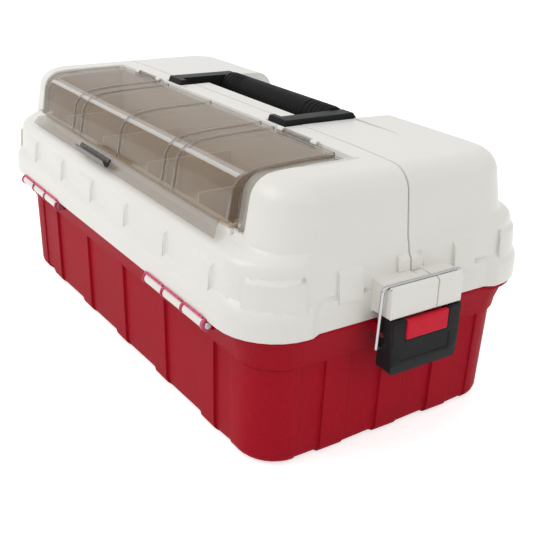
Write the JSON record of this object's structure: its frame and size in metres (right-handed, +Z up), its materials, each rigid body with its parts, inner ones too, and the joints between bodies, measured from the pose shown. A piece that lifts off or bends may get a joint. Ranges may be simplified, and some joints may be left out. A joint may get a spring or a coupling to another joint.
{
  "type": "hip-roof fishing tackle box",
  "caption": "Hip-roof tackle box with two outward-opening lid halves, cantilever trays, a clear-topped bin, a folding handle and a draw latch on each end.",
  "frame": {"origin": "middle of the bottom face", "axes": "+Z up, -Y towards the clear cover, +X towards the right end"},
  "size_m": [0.5408, 0.284, 0.224],
  "materials": {
    "tub_red": "fine grain",
    "lid_white": "pearl satin",
    "smoke_clear": "clear, polished",
    "bin_beige": "satin",
    "black_plastic": "satin",
    "grip_rubber": "matt",
    "button_red": "gloss",
    "steel": "bright",
    "tray_white": "satin"
  },
  "bodies": {
    "base": {"base_tub": "tub_red", "hinge_pins_front": "steel", "hinge_pins_back": "steel", "lever_pin_right": "steel", "lever_pin_left": "steel", "link_pins_front": "steel", "link_pins_back": "steel"},
    "lid_front": {"lid_front": "lid_white", "cover_pins": "steel", "lure_bin": "bin_beige", "lid_rivets_front": "steel"},
    "lid_back": {"lid_back": "lid_white", "handle_pins": "black_plastic", "lid_rivets_back": "steel"},
    "cover": {"bubble_cover": "smoke_clear", "cover_tab": "smoke_clear"},
    "handle": {"handle_frame": "black_plastic", "grip_sleeve": "grip_rubber"},
    "links_front": {"link_bars_front": "steel"},
    "links_back": {"link_bars_back": "steel"},
    "tray_front": {"tray_front": "tray_white", "tray_dividers_front": "tray_white", "tray_rivets_front": "steel"},
    "tray_back": {"tray_back": "tray_white", "tray_dividers_back": "tray_white", "tray_rivets_back": "steel"},
    "lever_right": {"lever_right": "black_plastic"},
    "button_right": {"button_right": "button_red"},
    "bail_right": {"bail_right": "steel"},
    "lever_left": {"lever_left": "black_plastic"},
    "button_left": {"button_left": "button_red"},
    "bail_left": {"bail_left": "steel"}
  },
  "joints": [
    {"name": "lid_front_hinge", "type": "hinge", "parent": "base", "child": "lid_front", "pos_m": [0, -0.137, 0.1075], "axis": [1, 0, 0], "range_deg": [0, 100]},
    {"name": "lid_back_hinge", "type": "hinge", "parent": "base", "child": "lid_back", "pos_m": [0, 0.137, 0.1075], "axis": [1, 0, 0], "range_deg": [-100, 0]},
    {"name": "cover_hinge", "type": "hinge", "parent": "lid_front", "child": "cover", "pos_m": [0, -0.0225, 0.217], "axis": [-1, 0, 0], "range_deg": [0, 100]},
    {"name": "handle_pivot", "type": "hinge", "parent": "lid_back", "child": "handle", "pos_m": [0, 0.006, 0.2135], "axis": [1, 0, 0], "range_deg": [0, 90]},
    {"name": "link_front_pivot", "type": "hinge", "parent": "base", "child": "links_front", "pos_m": [0, -0.0873, 0.08056], "axis": [1, 0, 0], "range_deg": [0, 100]},
    {"name": "tray_front_pivot", "type": "hinge", "parent": "links_front", "child": "tray_front", "pos_m": [0, -0.0335, 0.092], "axis": [1, 0, 0], "range_deg": [-100, 0]},
    {"name": "link_back_pivot", "type": "hinge", "parent": "base", "child": "links_back", "pos_m": [0, 0.0873, 0.08056], "axis": [1, 0, 0], "range_deg": [-100, 0]},
    {"name": "tray_back_pivot", "type": "hinge", "parent": "links_back", "child": "tray_back", "pos_m": [0, 0.0335, 0.092], "axis": [1, 0, 0], "range_deg": [0, 100]},
    {"name": "lever_right_pivot", "type": "hinge", "parent": "base", "child": "lever_right", "pos_m": [0.2585, 0, 0.104], "axis": [0, 1, 0], "range_deg": [-70, 0]},
    {"name": "bail_right_pivot", "type": "hinge", "parent": "lever_right", "child": "bail_right", "pos_m": [0.258, 0, 0.094], "axis": [0, 1, 0], "range_deg": [0, 210]},
    {"name": "button_right_press", "type": "slide", "parent": "lever_right", "child": "button_right", "axis": [-1, 0, 0], "range_m": [0, 0.002], "stiffness_N_per_m": 300, "springref_m": -0.002},
    {"name": "lever_left_pivot", "type": "hinge", "parent": "base", "child": "lever_left", "pos_m": [-0.2585, 0, 0.104], "axis": [0, 1, 0], "range_deg": [0, 70]},
    {"name": "bail_left_pivot", "type": "hinge", "parent": "lever_left", "child": "bail_left", "pos_m": [-0.258, 0, 0.094], "axis": [0, 1, 0], "range_deg": [-210, 0]},
    {"name": "button_left_press", "type": "slide", "parent": "lever_left", "child": "button_left", "axis": [1, 0, 0], "range_m": [0, 0.002], "stiffness_N_per_m": 300, "springref_m": -0.002}
  ],
  "couplings": [
    {"joint": "lid_back_hinge", "follows": "lid_front_hinge", "ratio": -1},
    {"joint": "link_front_pivot", "follows": "lid_front_hinge", "ratio": 1},
    {"joint": "tray_front_pivot", "follows": "lid_front_hinge", "ratio": -1},
    {"joint": "link_back_pivot", "follows": "lid_front_hinge", "ratio": -1},
    {"joint": "tray_back_pivot", "follows": "lid_front_hinge", "ratio": 1},
    {"joint": "lever_right_pivot", "follows": "lid_front_hinge", "ratio": -0.7},
    {"joint": "bail_right_pivot", "follows": "lid_front_hinge", "ratio": 2.1},
    {"joint": "lever_left_pivot", "follows": "lid_front_hinge", "ratio": 0.7},
    {"joint": "bail_left_pivot", "follows": "lid_front_hinge", "ratio": -2.1}
  ]
}
